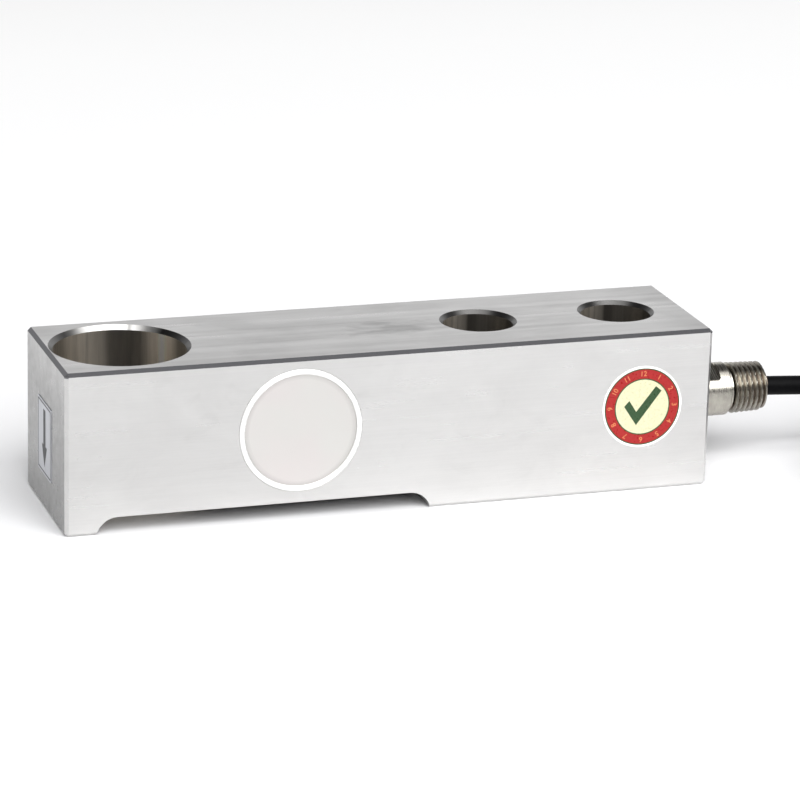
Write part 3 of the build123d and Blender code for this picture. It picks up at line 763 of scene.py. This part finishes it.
def moulded(name, colour, roughness=0.45, grain_size=0.6, depth=0.02, metallic=0.0, specular=0.5):
    """A moulded, extruded or cast surface with a fine grain, sizes in millimetres."""
    material, tree = start_material(name, colour, metallic, roughness, specular)
    scale = 1 / (grain_size * MM)
    grain = cloud(tree, object_place(tree), (scale, scale, scale), detail=4.0, roughness=0.6)
    tint = shaded(tree, colour, from_noise(tree, grain, 0.88, 1.1))
    rough = from_noise(tree, grain, roughness - 0.07, roughness + 0.09)
    return wired(material, tint, rough, bump(tree, grain, depth * MM, 0.5))


def finish_nodes(material, *names):
    for name in names:
        mesh = frame["nodes"][name].data
        mesh.materials.clear()
        mesh.materials.append(material)


def finish_plainly(finishes):
    """Gives each group of nodes the moulded surface that stands beside its names."""
    for names, (finish, colour, roughness, grain_size, more) in finishes.items():
        finish_nodes(moulded(finish, colour, roughness, grain_size, **more), *names.split())


# The stage


def make_floor(stage):
    half = stage.floor_size / 2
    corners = [(-half, -half, 0), (half, -half, 0), (half, half, 0), (-half, half, 0)]
    material, tree = start_material("floor_paper", stage.floor_colour, roughness=0.9, specular=0.1)
    place = object_place(tree)
    grain = cloud(tree, place, (40, 40, 40), detail=2.0)
    # Painted light: the floor grows paler further back
    far_off = spread(tree, parts_of(tree, place)[1], *FLOOR_PALER_Y, 0.0, 1.0)
    paper = blend_colour(tree, far_off, stage.floor_colour, stage.far_floor_colour)
    wired(material, paper, from_noise(tree, grain, 0.88, 0.92))
    floor = show("floor", mesh_from("floor", corners, [(0, 1, 2, 3)], smooth=False), material, None)


def make_soft_box(name, place, target, size, power):
    light = bpy.data.lights.new(name, "AREA")
    light.shape = "RECTANGLE"
    light.size, light.size_y = size
    light.energy = power
    holder = placed(name, light)
    holder.location = place
    holder.rotation_euler = (Vector(target) - Vector(place)).to_track_quat("-Z", "Y").to_euler()


def make_room(stage):
    """Light that comes from all sides: pale round the horizon, and dark overhead between the soft boxes."""
    world = bpy.data.worlds.new("room")
    world.use_nodes = True
    tree = world.node_tree
    background = tree.nodes["Background"]
    direction = add_node(tree, "ShaderNodeTexCoord").outputs["Generated"]
    right, back, up = parts_of(tree, direction)
    tree.links.new(tones(tree, up, ROOM_TONES, blue=1.01), background.inputs["Color"])
    behind = spread(tree, back, -0.4, 0.4, 0.22, 1.0)
    beside = spread(tree, right, -0.9, 0.1, 0.6, 1.0)
    tree.links.new(product(tree, behind, beside, stage.room_light), background.inputs["Strength"])
    bpy.context.scene.world = world


def make_camera(stage):
    data = bpy.data.cameras.new("camera")
    data.sensor_width = 36
    data.lens = stage.lens
    data.clip_start = 0.01
    data.clip_end = 50
    camera = placed("camera", data)
    turn = Matrix.Rotation(stage.camera_heading, 4, "Z")
    tilt = Matrix.Rotation(radians(90) - stage.camera_tilt, 4, "X")
    roll = Matrix.Rotation(stage.camera_roll, 4, "Z")
    camera.matrix_world = Matrix.Translation(stage.camera_place) @ turn @ tilt @ roll
    bpy.context.scene.camera = camera


class LOADCELL_OT_stage(bpy.types.Operator):
    """Sets the camera, the pale floor and the soft light"""

    bl_idname = "load_cell.stage"
    bl_label = "Stage"

    def execute(self, context):
        stage = context.scene.load_cell_stage
        make_camera(stage)
        make_floor(stage)
        make_room(stage)
        reach = stage.key_distance * cos(stage.key_height)
        key_place = (
            reach * sin(stage.key_heading),
            -reach * cos(stage.key_heading),
            stage.key_distance * sin(stage.key_height),
        )
        make_soft_box("front_soft_box", key_place, (0, 0, 0), FRONT_BOX, stage.key_power)
        below = (*OVERHEAD_PLACE[:2], 0)
        make_soft_box("overhead_soft_box", OVERHEAD_PLACE, below, OVERHEAD_BOX, stage.overhead_power)
        context.scene.view_settings.view_transform = "Standard"
        return {"FINISHED"}


# The cable


def coil_points(cable):
    """Control points of the coil: rows that wind in and out by turns, each a step above the one before."""
    per_turn = 16
    rise = 0.25
    # The curve runs inside its control points, at this share of their radius
    radius_share = 0.75 + 0.25 * cos(2 * pi / per_turn)
    travel = cable.row_turns * cable.turn_pitch
    outer = cable.coil_radius + travel / 2
    centre = Vector((COIL_CENTRE_X, -outer, COIL_FIRST_Z))
    total = cable.coil_rows * cable.row_turns + (cable.coil_rows - 1) * rise
    points = []
    for step in range(round(total * per_turn) + 1):
        turn = step / per_turn
        row = min(int(turn // (cable.row_turns + rise)), cable.coil_rows - 1)
        done = turn - row * (cable.row_turns + rise)
        wound = min(done, cable.row_turns) * cable.turn_pitch
        climbed = max(0.0, done - cable.row_turns) / rise
        radius = outer - wound if row % 2 == 0 else outer - travel + wound
        angle = pi / 2 - 2 * pi * turn
        height = (row + climbed) * cable.turn_pitch
        spoke = Vector((cos(angle), sin(angle), 0)) * (radius / radius_share)
        points.append(centre + spoke + Vector((0, 0, height)))
    return points


def hull(points):
    """The convex outline round some points, anticlockwise."""
    ordered = sorted(set(points))
    sides = []
    for line in (ordered, ordered[::-1]):
        side = []
        for point in line:
            while len(side) > 1:
                (ax, ay), (bx, by) = side[-2:]
                if (bx - ax) * (point[1] - ay) - (by - ay) * (point[0] - ax) > 0:
                    break
                side.pop()
            side.append(point)
        sides += side[:-1]
    return sides


def tail_tie(cable, material):
    """A cable tie drawn tight round the coil's turns and the tail that lies on them."""
    half_travel = cable.row_turns * cable.turn_pitch / 2
    top = COIL_FIRST_Z + (cable.coil_rows - 1) * cable.turn_pitch
    corners = [(side * half_travel, height) for side in (-1, 1) for height in (COIL_FIRST_Z, top)]
    loops = []
    for margin in (TIE_GAP + TIE_THICKNESS, TIE_GAP):
        around = circle_outline(cable.diameter / 2 + margin, 40)
        held = (*corners, TAIL_CROSSING)
        loops.append(hull([(across + x, up + y) for across, up in held for x, y in around]))
    outer = cable.coil_radius + half_travel
    place = Matrix.Translation((COIL_CENTRE_X, -outer, 0)) @ Matrix.Rotation(TAIL_TIE_ANGLE, 4, "Z")
    place = place @ Matrix.Translation((cable.coil_radius, 0, 0))
    place = place @ Matrix(((1, 0, 0, 0), (0, 0, -1, 0), (0, 1, 0, 0), (0, 0, 0, 1)))
    strap = flat_print("tail_tie_strap", loops, place, -TIE_WIDTH / 2, TIE_WIDTH, material, "tie_plastic")
    head_x = half_travel + cable.diameter / 2 + TIE_GAP + TIE_THICKNESS + TIE_HEAD / 2
    head_z = (COIL_FIRST_Z + top) / 2
    full = TIE_HEAD / 2
    cut = full - TIE_HEAD_CORNER
    octagon = [
        (-full, -cut), (-cut, -full), (cut, -full), (full, -cut),
        (full, cut), (cut, full), (-cut, full), (-full, cut),
    ]
    head = [(head_x + across, head_z + up) for across, up in octagon]
    low = -TIE_HEAD_WIDTH / 2
    block = flat_print("tail_tie_head", [head], place, low, TIE_HEAD_WIDTH, material, "tie_plastic")
    return [strap, block]


class LOADCELL_OT_cable(bpy.types.Operator):
    """Lays the cable from the adapter into its coil, and finishes its far end"""

    bl_idname = "load_cell.cable"
    bl_label = "Cable"

    def execute(self, context):
        cable = context.scene.load_cell_cable
        points = [*LEAD_IN_ROUTE, *coil_points(cable), *TAIL_ROUTE]
        curve = bpy.data.curves.new("cable_run", "CURVE")
        curve.dimensions = "3D"
        curve.bevel_depth = cable.diameter / 2
        curve.bevel_resolution = 4
        curve.resolution_u = 4
        curve.use_fill_caps = True
        spline = curve.splines.new("NURBS")
        spline.points.add(len(points) - 1)
        for point, place in zip(spline.points, points):
            point.co = (*place, 1)
        spline.order_u = 3
        spline.use_endpoint_u = True
        run = placed("cable_run", curve)
        jacket = moulded("cable_jacket", cable.jacket_colour, 0.42, grain_size=0.9, depth=0.05, specular=0.06)
        curve.materials.append(jacket)
        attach(run, "root")
        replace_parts(run, "cable", "cable_tail", "cable_coil")
        tie_plastic = moulded("tie_plastic", cable.tie_colour, 0.38, grain_size=1.5)
        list(tail_tie(cable, tie_plastic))
        finish_nodes(tie_plastic, "coil_ties")
        finish_plainly(FAR_END_FINISHES)
        return {"FINISHED"}


# The beam, its covers and their welds


class LOADCELL_OT_beam(bpy.types.Operator):
    """Gives the beam its ground faces and the covers their turned ones"""

    bl_idname = "load_cell.beam"
    bl_label = "Beam and covers"

    def execute(self, context):
        finish_nodes(ground_steel(), "beam_body", "duct_plug")
        finish_nodes(cover_steel(), "front_cavity_cover", "rear_cavity_cover")
        return {"FINISHED"}


def bead_ring(weld_radius, cover_radius):
    """The weld's section, turned about its axis: a low crown over the groove that it fills."""
    arc_steps = 8
    middle = (weld_radius + cover_radius) / 2
    half = (weld_radius - cover_radius) / 2
    section = [(cover_radius, -BEAD_DEPTH)]
    for step in range(arc_steps + 1):
        angle = pi - pi * step / arc_steps
        section.append((middle + half * cos(angle), BEAD_CROWN * sin(angle)))
    section.append((weld_radius, -BEAD_DEPTH))
    sides = 160
    points = []
    for radius, height in section:
        for side in range(sides):
            angle = 2 * pi * side / sides
            points.append((radius * cos(angle), radius * sin(angle), height))
    return mesh_from("bead", points, ring_faces(len(section), sides))


def ripple_tree(material):
    """Geometry nodes that lay overlapping ripples round a bead."""
    tree = bpy.data.node_groups.new("weld_ripples", "GeometryNodeTree")
    face = tree.interface
    face.new_socket("Geometry", in_out="INPUT", socket_type="NodeSocketGeometry")
    identifiers = {}
    for name in ("Ring radius", "Bead width", "Ripple height", "Ripple length", "Lift", "Ripples", "Seed"):
        kind = "NodeSocketInt" if name in ("Ripples", "Seed") else "NodeSocketFloat"
        identifiers[name] = face.new_socket(name, in_out="INPUT", socket_type=kind).identifier
    face.new_socket("Geometry", in_out="OUTPUT", socket_type="NodeSocketGeometry")
    given = tree.nodes.new("NodeGroupInput").outputs
    result = tree.nodes.new("NodeGroupOutput")

    def step(kind, inputs, **settings):
        return add_node(tree, "GeometryNode" + kind, inputs, **settings).outputs

    ring = step("CurvePrimitiveCircle", {"Resolution": 128, "Radius": given["Ring radius"]}, mode="RADIUS")
    spots = step("CurveToPoints", {"Curve": ring["Curve"], "Count": given["Ripples"]}, mode="COUNT")
    scatter = add_node(tree, "FunctionNodeRandomValue", {"Seed": given["Seed"]}, data_type="FLOAT_VECTOR")
    scatter.inputs[0].default_value = SMALLEST_RIPPLE
    scatter.inputs[1].default_value = LARGEST_RIPPLE
    ball = step("MeshUVSphere", {"Segments": 10, "Rings": 6, "Radius": 1.0})
    sizes = {"X": given["Bead width"], "Y": given["Ripple height"], "Z": given["Ripple length"]}
    size = add_node(tree, "ShaderNodeCombineXYZ", sizes)
    varied = add_node(tree, "ShaderNodeVectorMath", operation="MULTIPLY")
    tree.links.new(size.outputs[0], varied.inputs[0])
    tree.links.new(scatter.outputs[0], varied.inputs[1])
    turned = {"Rotation": spots["Rotation"], "Scale": varied.outputs[0]}
    laid = step("InstanceOnPoints", {"Points": spots["Points"], "Instance": ball["Mesh"], **turned})
    raise_by = add_node(tree, "ShaderNodeCombineXYZ", {"Z": given["Lift"]}).outputs[0]
    raised = step("Transform", {"Geometry": laid[0], "Translation": raise_by})
    joined = add_node(tree, "GeometryNodeJoinGeometry")
    tree.links.new(raised[0], joined.inputs[0])
    tree.links.new(given["Geometry"], joined.inputs[0])
    realized = step("RealizeInstances", {"Geometry": joined.outputs[0]})
    smoothed = step("SetShadeSmooth", {"Geometry": realized[0]})
    painted = step("SetMaterial", {"Geometry": smoothed[0], "Material": material})
    tree.links.new(painted[0], result.inputs[0])
    return tree, identifiers


class LOADCELL_OT_welds(bpy.types.Operator):
    """Lays a rippled bead round each cavity cover and finishes the adapter's weld"""

    bl_idname = "load_cell.welds"
    bl_label = "Welds"

    def execute(self, context):
        weld = context.scene.load_cell_weld
        material = weld_steel()
        tree, identifiers = ripple_tree(material)
        weld_radius = (WELD_HIGH.x - WELD_LOW.x) / 2
        cover_radius = (COVER_HIGH.x - COVER_LOW.x) / 2 + COVER_CLEARANCE
        sizes = {
            "Ring radius": (weld_radius + cover_radius) / 2,
            "Bead width": (weld_radius - cover_radius) / 2 * RIPPLE_WIDTH_SHARE,
            "Ripple height": weld.ripple_height,
            "Ripple length": RIPPLE_LENGTH,
            "Lift": BEAD_CROWN * RIPPLE_LIFT_SHARE,
            "Ripples": weld.ripples,
            "Seed": 7,
        }
        for side, name in ((-1, "front_cover_weld"), (1, "rear_cover_weld")):
            bead = placed("bead", bead_ring(weld_radius, cover_radius))
            ripples = bead.modifiers.new("ripples", "NODES")
            ripples.node_group = tree
            for label, value in sizes.items():
                ripples[identifiers[label]] = value
            mesh = plain_mesh(bead, name + "_bead")
            turn = Matrix.Rotation(radians(90) * -side, 4, "X")
            mesh.transform(Matrix.Translation((COVER_CENTRE.x, side * -FACE_Y, COVER_CENTRE.z)) @ turn)
            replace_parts(show(name + "_bead", outward(mesh), material, "weld_steel"), name)
        finish_nodes(material, "adapter_weld")
        return {"FINISHED"}


# The cable adapter


def thread_radius(x, angle, thread, envelope):
    """Radius of a right-hand thread: full depth in the roots, the envelope on the crests."""
    phase = ((x - ADAPTER_HIGH.x) / thread.pitch - angle / (2 * pi)) % 1.0
    fall = 1 - abs(2 * phase - 1)
    cut = min(max(FLANK_STEEPNESS * fall - CREST_FLAT, 0.0), 1.0)
    return envelope - thread.depth * cut


def flat_radius(x, angle, radius):
    """Radius of the collar where its two wrench flats leave it, or the full one elsewhere."""
    for normal in FLAT_ANGLES:
        away = (angle - normal + pi) % (2 * pi) - pi
        if abs(away) > radians(60):
            continue
        limit = FLAT_DISTANCE / cos(away)
        across = abs(FLAT_DISTANCE * sin(away) / cos(away))
        reach = FLAT_END_X
        if across > FLAT_HALF_WIDTH - FLAT_CORNER:
            over = min(across - (FLAT_HALF_WIDTH - FLAT_CORNER), FLAT_CORNER)
            reach = FLAT_END_X - FLAT_CORNER + sqrt(FLAT_CORNER**2 - over**2)
        if x <= reach:
            radius = min(radius, limit)
    return radius


def adapter_rows(thread):
    """The adapter's section from its inner end, out over the collar and the thread, and back to its bore."""
    face_x = BEAM_HIGH.x
    mouth = ADAPTER_HIGH.x
    rows = [
        (ADAPTER_LOW.x, ENTRY_BORE_R, "plain"),
        (ADAPTER_LOW.x, SPIGOT_R, "plain"),
        (face_x, SPIGOT_R, "plain"),
        (face_x, COLLAR_R, "collar"),
        (face_x + COLLAR_MIDDLE_ROW, COLLAR_R, "collar"),
    ]
    # Close rows where the flats' round corners end
    first = FLAT_END_X - CLOSE_ROWS_LENGTH
    for step in range(CLOSE_ROWS + 1):
        rows.append((first + CLOSE_ROWS_LENGTH * step / CLOSE_ROWS, COLLAR_R, "collar"))
    rows += [
        (FLAT_END_X + 0.02 * MM, COLLAR_R, "collar"),
        (COLLAR_END_X - COLLAR_BEVEL, COLLAR_R, "collar"),
        (COLLAR_END_X, COLLAR_R - COLLAR_BEVEL, "plain"),
        (COLLAR_END_X, UNDERCUT_R, "plain"),
        (THREAD_START_X, UNDERCUT_R, "plain"),
    ]
    length = mouth - THREAD_START_X
    count = ceil(length / thread.pitch * thread.rows_per_pitch)
    for step in range(1, count + 1):
        x = THREAD_START_X + length * step / count
        crests = CREST_R - (x - THREAD_START_X) * PIPE_TAPER / 2
        run_in = UNDERCUT_R + (x - THREAD_START_X) * RUN_IN_SLOPE
        lead_out = CREST_R - length * PIPE_TAPER / 2 - LEAD_CHAMFER + mouth - x
        rows.append((x, min(crests, run_in, lead_out), "thread"))
    rows += [
        (mouth, MOUTH_BORE_R, "plain"),
        (mouth - MOUTH_DEPTH, MOUTH_BORE_R, "plain"),
        (mouth - MOUTH_DEPTH, ENTRY_BORE_R, "plain"),
    ]
    return rows


class LOADCELL_OT_adapter(bpy.types.Operator):
    """Cuts the cable adapter's pipe thread and wrench flats"""

    bl_idname = "load_cell.adapter"
    bl_label = "Cable adapter"

    def execute(self, context):
        thread = context.scene.load_cell_thread
        rows = adapter_rows(thread)
        points = []
        for x, radius, kind in rows:
            for side in range(thread.sides):
                angle = 2 * pi * side / thread.sides
                here = radius
                if kind == "thread":
                    here = max(thread_radius(x, angle, thread, radius), THREAD_ROOT_R)
                if kind == "collar":
                    here = flat_radius(x, angle, radius)
                points.append((x, here * cos(angle), ADAPTER_Z + here * sin(angle)))
        mesh = outward(mesh_from("cable_adapter", points, ring_faces(len(rows), thread.sides)))
        mesh.set_sharp_from_angle(angle=radians(28))
        piece = show("cable_adapter", mesh, turned_steel(), "turned_steel")
        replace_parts(piece, "conduit_adapter")
        finish_nodes(piece.data.materials[0], "grommet_washer")
        finish_plainly(ADAPTER_FINISHES)
        return {"FINISHED"}


# The label and the sticker


class LOADCELL_OT_label(bpy.types.Operator):
    """Prints the border and the load arrow on the end label"""

    bl_idname = "load_cell.label"
    bl_label = "Load direction label"

    def execute(self, context):
        label = context.scene.load_cell_label
        finish_nodes(label_foil(), "load_direction_label")
        ink = printed_ink("label_ink", label.ink_colour)
        centre = (LABEL_LOW + LABEL_HIGH) / 2
        # The label faces -X: across runs along -Y, up along +Z
        place = Matrix.Translation((LABEL_LOW.x, centre.y, centre.z))
        place = place @ Matrix(((0, 0, -1, 0), (-1, 0, 0, 0), (0, 1, 0, 0), (0, 0, 0, 1)))
        half = label.arrow_length / 2
        wide = label.arrow_width / 2
        stem = ARROW_STEM_HALF
        neck = -half + ARROW_HEAD
        arrow = [
            (0, -half), (wide, neck), (stem, neck), (stem, half),
            (-stem, half), (-stem, neck), (-wide, neck),
        ]
        flat_print("load_arrow", [arrow], place, 0, INK_THICKNESS, ink, "label_foil")
        across = (LABEL_HIGH.y - LABEL_LOW.y) / 2 - BORDER_INSET
        up = (LABEL_HIGH.z - LABEL_LOW.z) / 2 - BORDER_INSET
        frames = [
            [(a * (across - inset), b * (up - inset)) for a, b in ((-1, -1), (1, -1), (1, 1), (-1, 1))]
            for inset in (0, BORDER_LINE)
        ]
        flat_print("label_border", frames, place, 0, INK_THICKNESS, ink, "label_foil")
        return {"FINISHED"}


def number_mesh(text, size, place, name):
    letters = bpy.data.curves.new(name, "FONT")
    letters.body = text
    letters.size = size
    letters.align_x = "CENTER"
    letters.align_y = "CENTER"
    letters.offset = size * NUMBER_WEIGHT
    letters.extrude = NUMBER_HALF_THICKNESS
    carrier = placed(name, letters)
    mesh = plain_mesh(carrier, name)
    mesh.transform(place)
    return mesh


def joined_mesh(name, meshes):
    shape = bmesh.new()
    for mesh in meshes:
        shape.from_mesh(mesh)
        bpy.data.meshes.remove(mesh)
    whole = bpy.data.meshes.new(name)
    shape.to_mesh(whole)
    shape.free()
    return whole


class LOADCELL_OT_sticker(bpy.types.Operator):
    """Prints a ring of numbers and a tick on the round sticker"""

    bl_idname = "load_cell.sticker"
    bl_label = "Round sticker"

    def execute(self, context):
        sticker = context.scene.load_cell_sticker
        film = moulded("sticker_film", sticker.film_colour, 0.3, grain_size=4.0, depth=0.01)
        finish_nodes(film, "round_sticker")
        centre = (STICKER_LOW + STICKER_HIGH) / 2
        place = Matrix.Translation((centre.x, STICKER_LOW.y, centre.z)) @ Matrix.Rotation(radians(90), 4, "X")
        ring = printed_ink("sticker_ring_ink", sticker.ring_colour, 0.3)
        pale = printed_ink("sticker_centre_ink", sticker.centre_colour, 0.3)
        dark = printed_ink("sticker_mark_ink", sticker.mark_colour, 0.3)
        outer = sticker.ring_radius
        inner = sticker.centre_radius
        layer = STICKER_LAYER
        slot = "sticker_film"
        band = [circle_outline(outer), circle_outline(inner)]
        flat_print("sticker_ring", band, place, 0, layer, ring, slot)
        flat_print("sticker_centre", [circle_outline(inner)], place, 0, layer, pale, slot)
        for name, radius in (("sticker_outer_line", outer), ("sticker_inner_line", inner)):
            lines = [circle_outline(radius + side * STICKER_LINE / 2) for side in (1, -1)]
            flat_print(name, lines, place, layer, layer, dark, slot)
        tick = [(across * MM, up * MM) for across, up in TICK]
        flat_print("sticker_tick", [tick], place, layer, layer, dark, slot)
        numbers = []
        for hour in range(1, 13):
            angle = radians(90 - 30 * hour)
            spot = Vector((cos(angle), sin(angle), 0)) * (outer + inner) / 2
            lifted = Matrix.Translation(spot + Vector((0, 0, 1.5 * layer)))
            upright = lifted @ Matrix.Rotation(angle - pi / 2, 4, "Z")
            numbers.append(number_mesh(str(hour), NUMBER_SIZE, place @ upright, "number"))
        gold = printed_ink("sticker_number_ink", sticker.number_colour, 0.35)
        show("sticker_numbers", outward(joined_mesh("sticker_numbers", numbers)), gold, slot)
        return {"FINISHED"}


# What the beam holds inside


class LOADCELL_OT_gauges(bpy.types.Operator):
    """Finishes the gauges, boards and wires inside the beam"""

    bl_idname = "load_cell.gauges"
    bl_label = "Gauges and wiring"

    def execute(self, context):
        finish_plainly(INNER_FINISHES)
        return {"FINISHED"}


OPERATORS = (
    LOADCELL_OT_stage,
    LOADCELL_OT_cable,
    LOADCELL_OT_beam,
    LOADCELL_OT_welds,
    LOADCELL_OT_adapter,
    LOADCELL_OT_label,
    LOADCELL_OT_sticker,
    LOADCELL_OT_gauges,
)


class LOADCELL_PT_panel(bpy.types.Panel):
    """Lists the pieces and the sizes and colours that can be changed"""

    bl_idname = "LOADCELL_PT_panel"
    bl_label = "Load cell"
    bl_space_type = "VIEW_3D"
    bl_region_type = "UI"
    bl_category = "Load cell"

    def draw(self, context):
        for operator in OPERATORS:
            self.layout.operator(operator.bl_idname)
        for name, group in SETTINGS.items():
            box = self.layout.box()
            for value in group.__annotations__:
                box.prop(getattr(context.scene, name), value)


def register():
    for name, group in SETTINGS.items():
        bpy.utils.register_class(group)
        setattr(bpy.types.Scene, name, bpy.props.PointerProperty(type=group))
    for operator in OPERATORS:
        bpy.utils.register_class(operator)
    bpy.utils.register_class(LOADCELL_PT_panel)


def unregister():
    bpy.utils.unregister_class(LOADCELL_PT_panel)
    for operator in reversed(OPERATORS):
        bpy.utils.unregister_class(operator)
    for name, group in SETTINGS.items():
        delattr(bpy.types.Scene, name)
        bpy.utils.unregister_class(group)


def main():
    register()
    for operator in OPERATORS:
        group, name = operator.bl_idname.split(".")
        getattr(getattr(bpy.ops, group), name)()


if __name__ == "__main__":
    main()
